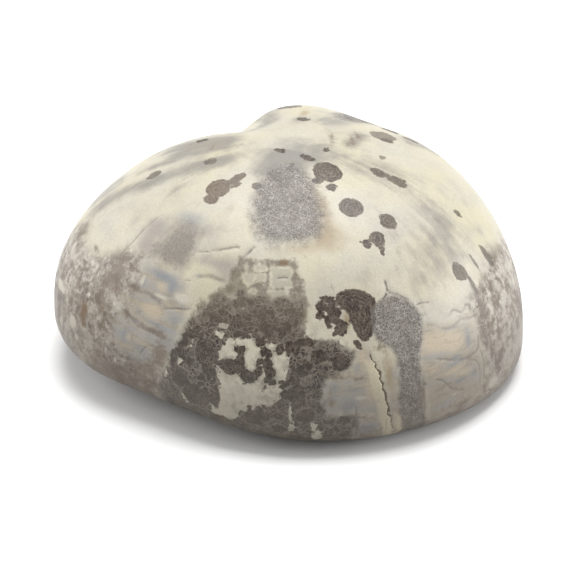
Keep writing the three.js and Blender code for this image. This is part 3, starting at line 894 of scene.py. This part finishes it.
# %% [markdown]
# ### Cream silica with washes of grey, lilac and tan
# Clean flint-like silica is cream, a little warmer in some places and greyer in others. Grey washes follow
# the rays of the test from the crown outwards. Noise that is sampled on a ring round the upright axis is
# drawn out along those rays, which a brush on a flat sheet couldn't do without a seam.

# %% Cream ground
CREAM = shade(224, 218, 201)
CREAM_WARM = shade(231, 222, 193)
CREAM_GREY = shade(207, 201, 187)
colour = mixed(ramped(cloud(7.0, 3.0), 0.35, 0.7), CREAM, CREAM_WARM)
colour = mixed(ramped(cloud(2.4, 4.0, shift=3.0), 0.45, 0.8, 0.0, 0.8), colour, CREAM_GREY)
print("nodes with the cream ground:", len(tree.nodes))

# %% Grey washes drawn out along the rays
WASH_GREY = shade(160, 155, 146)
RING_RADIUS = 18.0
flat = scaled(mm, (1, 1, 0))
from_axis = node("VectorMath", {0: flat}, operation="LENGTH").outputs["Value"]
ray_way = node("VectorMath", {0: flat}, operation="NORMALIZE").outputs[0]
ray_place = moved(scaled(ray_way, RING_RADIUS), scaled(mm, (0.12, 0.12, 0.3)))
streaks = maths("SUBTRACT", cloud(1.2, 4.0, 0.6, where=ray_place), 0.5)
streaks = times(streaks, ramped(from_axis, 2.0, 12.0))
patches = maths("SUBTRACT", cloud(2.0, 4.0, 0.6, shift=7.0), 0.5)
wash_value = plus(plus(field("wash"), streaks, 1.1), patches, 1.0)
colour = mixed(ramped(wash_value, 0.0, 0.8, 0.0, 0.9), colour, WASH_GREY)
print("nodes with the washes:", len(tree.nodes))

# %% Lilac and tan clouds
LILAC = shade(180, 171, 162)
TAN = shade(178, 157, 120)
lilac_value = plus(field("lilac"), patches, 0.7)
colour = mixed(ramped(lilac_value, 0.05, 0.75, 0.0, 0.85), colour, LILAC)
colour = mixed(ramped(wavering(field("stain"), 0.5), 0.05, 0.9, 0.0, 0.9), colour, TAN)
print("nodes with lilac and tan:", len(tree.nodes))

# %% [markdown]
# ### Mottled stone and chalcedony
# Low down the silica is mottled: brown, with pale crumbs and a broken pale net. It could be two layers of
# spots, but noise at two scales, cut sharply, gives the crumbly edges of the real stone. The chalcedony
# grew in layers, so one stretched noise makes its bands, and the same bands bend its blue and peach.

# %% Mottled stone
MOTTLE_BROWN = shade(126, 111, 96)
MOTTLE_PALE = shade(212, 204, 190)
bend = node("TexNoise", {"Vector": mm, "Scale": 0.8, "Detail": 3.0}).outputs["Color"]
net_edges = cells(0.85, moved(mm, scaled(bend, 3.0)), "DISTANCE_TO_EDGE")
net = times(ramped(net_edges, 0.02, 0.16, 1.0, 0.0), ramped(cloud(1.3, 3.0, shift=2.5), 0.35, 0.65))
crumbs = times(cloud(0.55, 4.0, 0.7, shift=8.8), 0.4)
mottle_value = plus(crumbs, cloud(2.2, 3.0, 0.6, shift=8.0), 0.6)
mottle_colour = mixed(ramped(mottle_value, 0.44, 0.58), MOTTLE_BROWN, MOTTLE_PALE)
mottle_colour = mixed(times(net, 0.6), mottle_colour, MOTTLE_PALE)
mottle_gaps = ramped(cloud(3.2, 5.0, 0.6, shift=1.0), 0.3, 0.5, 0.55, 1.0)
mottle_mask = times(field("mottle"), mottle_gaps)
colour = mixed(mottle_mask, colour, mottle_colour)
print("nodes with the mottled stone:", len(tree.nodes))

# %% Chalcedony: wavy bands of tan and grey, bluer in some places and peach in others
PLATE_TAN = shade(198, 186, 166)
CHALCEDONY = shade(188, 184, 177)
CHALCEDONY_DEEP = shade(158, 162, 167)
PEACH = shade(222, 206, 180)
SEAM = shade(122, 115, 107)
bands = cloud(1.5, shift=5.5, where=scaled(mm, (0.3, 0.3, 1.3)))
plate_way = wavering(field("plate"), 1.4)
band_colour = mixed(ramped(bands, 0.4, 0.58), PLATE_TAN, CHALCEDONY)
colour = mixed(ramped(plate_way, -0.7, 0.6, 0.0, 0.9), colour, band_colour)
band_shift = maths("SUBTRACT", bands, 0.5)
blue_value = plus(field("blue"), band_shift, 1.0)
colour = mixed(ramped(blue_value, 0.0, 1.0, 0.0, 0.85), colour, CHALCEDONY_DEEP)
peach_value = plus(field("peach"), band_shift, -0.8)
colour = mixed(ramped(peach_value, 0.0, 0.75, 0.0, 0.95), colour, PEACH)
band_lines = times(lines(bands, 0.2, 0.75), ramped(plate_way, 0.0, 0.6, 0.0, 0.18))
colour = mixed(band_lines, colour, SEAM)
print("nodes with the chalcedony:", len(tree.nodes))

# %% Brown and pale clouds
BROWN = shade(138, 120, 101)
PALE = shade(234, 226, 208)
brown_value = wavering(field("brown"), 0.9, 1.0)
colour = mixed(ramped(brown_value, 0.15, 0.8, 0.0, 0.8), colour, BROWN)
colour = mixed(ramped(wavering(field("pale"), 0.8), 0.25, 0.7, 0.0, 0.9), colour, PALE)
print("nodes with the clouds:", len(tree.nodes))

# %% [markdown]
# ### The umber field
# Beekite grows as small knots of rings that crowd each other, dark brown with pale lines between. Cells
# that are bent by noise give the crowded knots, the distance to each middle gives rings, and the distance
# to each edge gives the pale lines. Cream gaps are left free where the field says so.

# %% Knots, rings and rims
swirl = node("TexNoise", {"Vector": mm, "Scale": 0.9, "Detail": 1.0}).outputs["Color"]
swirl = node("VectorMath", {0: swirl, 1: (0.5, 0.5, 0.5)}, operation="SUBTRACT").outputs[0]
swirled = moved(mm, scaled(swirl, 1.5))
KNOTS_PER_MM = 1.9
big_knots = cells(0.6, swirled)
ring_mask = lines(plus(big_knots, fine_wobble, 0.25), 0.2, 0.3)
ring_mask = times(ring_mask, ramped(cloud(1.2, 4.0, 0.6, shift=5.0), 0.44, 0.58))
curl_mask = lines(cloud(2.0, 1.0, shift=7.7), 1 / 11, 0.45)
curl_mask = times(curl_mask, ramped(cloud(0.9, 3.0, 0.6, shift=3.9), 0.4, 0.58))
knots = cells(KNOTS_PER_MM, swirled)
knot_dark = ramped(cloud(2.0, 3.0, 0.6, shift=2.2), 0.35, 0.55, 0.3, 1.0)
knot_dark = times(ramped(knots, 0.56, 0.4), knot_dark)
knot_rim = ramped(cells(KNOTS_PER_MM, swirled, "DISTANCE_TO_EDGE"), 0.13, 0.03)
knot_rim = times(knot_rim, ramped(cloud(1.0, 3.0, 0.6, shift=2.7), 0.4, 0.6))
specks = ramped(cloud(0.3, 2.0, 0.6, shift=6.6), 0.66, 0.76)
print("nodes with the knots:", len(tree.nodes))

# %% Umber
UMBER = shade(94, 84, 74)
UMBER_MID = shade(124, 113, 100)
UMBER_TOP = shade(124, 112, 96)
UMBER_DARK = shade(62, 53, 46)
UMBER_PALE = shade(164, 155, 141)
upper = ramped(field("low"), 0.24, 0.04)
umber_colour = mixed(ramped(cloud(0.6, 3.0, 0.6, shift=2.0), 0.4, 0.66), UMBER, UMBER_MID)
umber_colour = mixed(times(upper, 0.7), umber_colour, UMBER_TOP)
umber_colour = mixed(times(knot_dark, ramped(upper, 0.0, 1.0, 0.95, 0.3)), umber_colour, UMBER_DARK)
umber_colour = mixed(times(ring_mask, 0.6), umber_colour, UMBER_PALE)
umber_colour = mixed(times(curl_mask, 0.4), umber_colour, UMBER_PALE)
umber_colour = mixed(times(knot_rim, 0.75), umber_colour, UMBER_PALE)
umber_colour = mixed(times(specks, 0.7), umber_colour, MOTTLE_PALE)
umber_mask = ramped(wavering(field("umber"), 1.4, 0.5), -0.4, 0.4)
colour = mixed(umber_mask, colour, umber_colour)
print("nodes with the umber:", len(tree.nodes))

# %% Cream gaps
GAP_CREAM = shade(243, 236, 213)
gap_way = wavering(plus(field("gap"), maths("SUBTRACT", knots, 0.42), 0.7), 0.45)
gap_mask = times(ramped(gap_way, -0.1, 0.12), ramped(field("umber"), -1.5, 0.0))
gap_colour = mixed(ramped(cloud(0.8, 4.0, shift=1.7), 0.4, 0.75, 0.0, 0.6), GAP_CREAM, UMBER_PALE)
colour = mixed(gap_mask, colour, gap_colour)
print("nodes with the gaps:", len(tree.nodes))

# %% The brown net round the small plates of the front ray
NET_BROWN = shade(130, 119, 102)
SMALL_CREAM = shade(200, 194, 174)
net_mask = ramped(wavering(field("small_net"), 1.0, 0.7), -0.2, 0.3)
net_mask = times(net_mask, ramped(cloud(0.5, 3.0, 0.7, shift=3.3), 0.25, 0.6, 0.45, 0.9))
net_mask = times(net_mask, maths("SUBTRACT", 1.0, umber_mask))
colour = mixed(net_mask, colour, NET_BROWN)
small_mask = ramped(wavering(field("small_plate"), 0.5), -0.05, 0.2, 0.0, 0.9)
colour = mixed(small_mask, colour, SMALL_CREAM)
print("nodes with the small plates:", len(tree.nodes))

# %% [markdown]
# ### Rosettes
# The dark rosettes on the dome are single knots of beekite. Their rings follow their outline, so the field
# that draws the outline draws the rings too, as lines of equal depth inside it. A few have petals, which
# come from the angle round their middle instead.

# %% Dark rosettes
ROSETTE = shade(54, 43, 35)
ROSETTE_PALE = shade(140, 126, 111)
ROSETTE_WARM = shade(118, 92, 70)
RING_STEP = 0.32  # millimetres from ring to ring
lobing = ramped(field("spot_rings"), 0.3, 1.0, 0.35, 0.15)
lobing = times(maths("SUBTRACT", 0.4, knots), lobing)
spot_way = maths("ADD", lobing, wavering(field("spot"), 0.5, 0.12))
spot_ring = lines(wavering(spot_way, 0.5, 0.2), RING_STEP, 0.2)
spot_ring = times(spot_ring, ramped(cloud(0.7, 3.0, shift=6.0), 0.33, 0.52))
spot_paler = ramped(cloud(0.6, 4.0, 0.7, shift=4.4), 0.35, 0.7, 0.0, 0.4)
spot_colour = mixed(spot_paler, ROSETTE, ROSETTE_PALE)
spot_colour = mixed(field("spot_warm"), spot_colour, ROSETTE_WARM)
spot_colour = mixed(times(spot_ring, times(field("spot_rings"), 0.8)), spot_colour, ROSETTE_PALE)
spot_colour = mixed(times(knot_rim, 0.65), spot_colour, ROSETTE_PALE)
spot_mask = times(ramped(spot_way, -0.06, 0.06), field("spot_tone"))
colour = mixed(spot_mask, colour, spot_colour)
print("nodes with the rosettes:", len(tree.nodes))

# %% A broken pale rim where a rosette lies in umber
rim = ramped(maths("ABSOLUTE", maths("ADD", spot_way, 0.1)), 0.11, 0.02)
rim = times(rim, ramped(cloud(0.9, 3.0, 0.6, shift=8.1), 0.38, 0.55))
colour = mixed(times(times(rim, umber_mask), 0.6), colour, UMBER_PALE)
print("nodes with the rims:", len(tree.nodes))

# %% Petals, with pale strokes between them and a ring round the heart
PETALS = 7
petal_x, petal_y = field("petal_across"), field("petal_up")
petal_angle = wavering(maths("ARCTAN2", petal_y, petal_x), 1.4, 0.7)
petal_out = maths("SQRT", maths("ADD", times(petal_x, petal_x), times(petal_y, petal_y)))
petal_out = wavering(petal_out, 0.35)
strokes = ramped(maths("SINE", times(petal_angle, PETALS)), 0.55, 0.95)
strokes = times(strokes, times(ramped(petal_out, 0.15, 0.3), ramped(petal_out, 1.05, 0.75)))
heart_ring = ramped(maths("ABSOLUTE", maths("SUBTRACT", petal_out, 0.22)), 0.1, 0.03)
colour = mixed(times(maths("MAXIMUM", strokes, heart_ring), 0.7), colour, UMBER_PALE)
print("nodes with the petals:", len(tree.nodes))

# %% [markdown]
# ### Sugary grain
# The grey patches are fine quartz crystals, dark and pale by turns, with a few that catch the light. Fine
# noise makes the grain itself, and bent cells make pale threads in it. A few of a second set of cells,
# picked by their own random colour, are painted near white as glints where crystals catch the light.

# %% Grain
GRAIN_DARK = shade(84, 77, 72)
GRAIN_LIGHT = shade(160, 152, 144)
GRAIN_BROWN = shade(94, 84, 76)
GRAIN_CALM = shade(162, 153, 143)
PALE_THREAD_AND_GLINT = shade(240, 236, 230)
grain_value = plus(times(cloud(0.16, 2.0, 0.6), 0.75), cloud(1.6, 3.0, 0.7), 0.25)
grain_swing = ramped(field("grain_tone"), 0.0, 1.0, 1.0, 2.2)
grain_shade = maths("MULTIPLY_ADD", maths("SUBTRACT", grain_value, 0.49), grain_swing, 0.5)
grain_colour = mixed(ramped(grain_shade, 0.36, 0.64), GRAIN_DARK, GRAIN_LIGHT)
grain_colour = mixed(times(field("grain_tone"), 0.25), grain_colour, GRAIN_BROWN)
thread_mask = ramped(cells(2.6, swirled, "DISTANCE_TO_EDGE"), 0.09, 0.02)
thread_mask = times(thread_mask, ramped(cloud(0.7, 3.0, 0.6, shift=1.3), 0.4, 0.6))
grain_colour = mixed(times(thread_mask, 0.45), grain_colour, PALE_THREAD_AND_GLINT)
grain_colour = mixed(field("grain_calm"), grain_colour, GRAIN_CALM)
grain_mask = times(ramped(wavering(field("grain"), 1.6, 1.2), -0.9, 0.9), 0.9)
colour = mixed(grain_mask, colour, grain_colour)
print("nodes with the grain:", len(tree.nodes))

# %% Painted glints where crystals catch the light
crystals = node("TexVoronoi", {"Vector": mm, "Scale": 1.6})
lucky = node("SeparateColor", {"Color": crystals.outputs["Color"]}).outputs["Red"]
# painted highlight: a few cells get a near-white colour, as glints where crystals catch the light
painted_glint = times(ramped(crystals.outputs["Distance"], 0.14, 0.06), ramped(lucky, 0.8, 0.85))
painted_glint = times(painted_glint, maths("MAXIMUM", grain_mask, mottle_mask))
colour = mixed(times(painted_glint, 0.8), colour, PALE_THREAD_AND_GLINT)
print("nodes with the crystals:", len(tree.nodes))

# %% [markdown]
# ### Rust, seams and the crack
# These come last, as they did on the stone. The seams and the cleft are already carved, so the colour only
# has to follow the same fields: grey in the seams, painted shade dark in the cleft and pale on the chipped
# lip beside it.

# %% Rust, seams, lip and cleft
RUST = shade(134, 104, 68)
LIP = shade(238, 226, 196)
CLEFT_SHADE = shade(124, 108, 80)
colour = mixed(ramped(wavering(field("rust"), 0.6), 0.15, 0.8, 0.0, 0.9), colour, RUST)
seam_way = maths("ABSOLUTE", wavering(field("seam_side"), 0.3))
seam_mask = times(ramped(plus(seam_way, fine_wobble, 0.15), 0.2, 0.0), field("seam_ink"))
seam_mask = times(seam_mask, ramped(cloud(0.8, 3.0, shift=9.0), 0.3, 0.6, 0.3, 1.0))
colour = mixed(seam_mask, colour, SEAM)
colour = mixed(ramped(wavering(field("lip"), 0.6), 0.1, 0.75, 0.0, 0.9), colour, LIP)
# painted shade: the narrow cleft is coloured dark, as the shade inside it
colour = mixed(ramped(field("crack"), 1.0, 0.45), colour, CLEFT_SHADE)
print("nodes with the seams and the crack:", len(tree.nodes))

# %% A darker foot, partly brown stone and partly painted shade, and fine dust all over
FOOT_BROWN_AND_SHADE = shade(104, 94, 82)
# painted shade, with some of the stone's own brown: the colour darkens towards the base, where the underside
# is shaded
colour = mixed(times(ramped(field("low"), 0.3, 1.0), 0.5), colour, FOOT_BROWN_AND_SHADE)
dust = cloud(0.16, 3.0, 0.7, shift=4.0)
colour = scaled(colour, ramped(dust, 0.25, 0.75, 0.88, 1.1))
print("nodes with the dust:", len(tree.nodes))

# %% Gloss and fine bumps
roughness = ramped(grain_mask, 0.0, 1.0, 0.46, 0.58)
bumps = plus(times(cloud(0.3, 3.0), 0.25), times(grain_value, grain_mask), 0.7)
bumps = plus(bumps, ring_mask, 0.05)
normal = node("Bump", {"Height": bumps, "Strength": 0.35, "Distance": 0.1 * MM}).outputs["Normal"]
skin_inputs = {"Base Color": colour, "Roughness": roughness, "Normal": normal, "Specular IOR Level": 0.35}
surface = node("BsdfPrincipled", skin_inputs)
node("OutputMaterial", {"Surface": surface.outputs["BSDF"]})
skin.materials.clear()
skin.materials.append(stone)
print("nodes in the whole material:", len(tree.nodes))

# %% [markdown]
# ## Floor, light and camera
# The stone lies on bright white paper in a light tent: light comes softly from everywhere above, and the
# paper is so bright that only a close, soft shadow shows round the foot of the stone.

# %% White paper
def plain(name, colour, roughness):
    """A plain material for the stage."""
    material = bpy.data.materials.new(name)
    material.use_nodes = True
    shader = material.node_tree.nodes["Principled BSDF"]
    shader.inputs["Base Color"].default_value = colour
    shader.inputs["Roughness"].default_value = roughness
    return material


paper_mesh = bpy.data.meshes.new("paper")
bm = bmesh.new()
bmesh.ops.create_circle(bm, cap_ends=True, segments=64, radius=2.0)
bm.to_mesh(paper_mesh)
bm.free()
paper = bpy.data.objects.new("paper", paper_mesh)
paper_mesh.materials.append(plain("paper", (0.7, 0.7, 0.7, 1.0), 0.9))
scene.collection.objects.link(paper)

# %% Light tent
def soft_light(name, where, size, watts):
    """A square lamp that faces the stone."""
    lamp = bpy.data.lights.new(name, "AREA")
    lamp.size = size
    lamp.energy = watts
    holder = bpy.data.objects.new(name, lamp)
    holder.location = where
    holder.rotation_euler = (Vector((0, 0, 0.01)) - Vector(where)).to_track_quat("-Z", "Y").to_euler()
    scene.collection.objects.link(holder)


soft_light("overhead", (0.03, 0.12, 0.6), 0.42, 5.9)
soft_light("left wall", (-0.5, 0.1, 0.22), 0.4, 2.1)
soft_light("right wall", (0.5, 0.0, 0.1), 0.3, 2.4)
world = bpy.data.worlds.new("tent")
scene.world = world
world.use_nodes = True
background = world.node_tree.nodes["Background"]
background.inputs["Color"].default_value = (1, 1, 1, 1)
background.inputs["Strength"].default_value = 0.6

# %% Camera
CAMERA_RISE = math.radians(30)
CAMERA_DISTANCE = 0.3
VIEW_WIDTH = 0.061
AIM = Vector((-0.0001, 0, 0.006))
camera_data = bpy.data.cameras.new("camera")
camera_data.sensor_width = 36
camera_data.lens = 36 * CAMERA_DISTANCE / VIEW_WIDTH
camera = bpy.data.objects.new("camera", camera_data)
camera.location = AIM + CAMERA_DISTANCE * Vector((0, -math.cos(CAMERA_RISE), math.sin(CAMERA_RISE)))
camera.rotation_euler = (math.pi / 2 - CAMERA_RISE, 0, 0)
scene.collection.objects.link(camera)
scene.camera = camera
scene.view_settings.view_transform = "Standard"
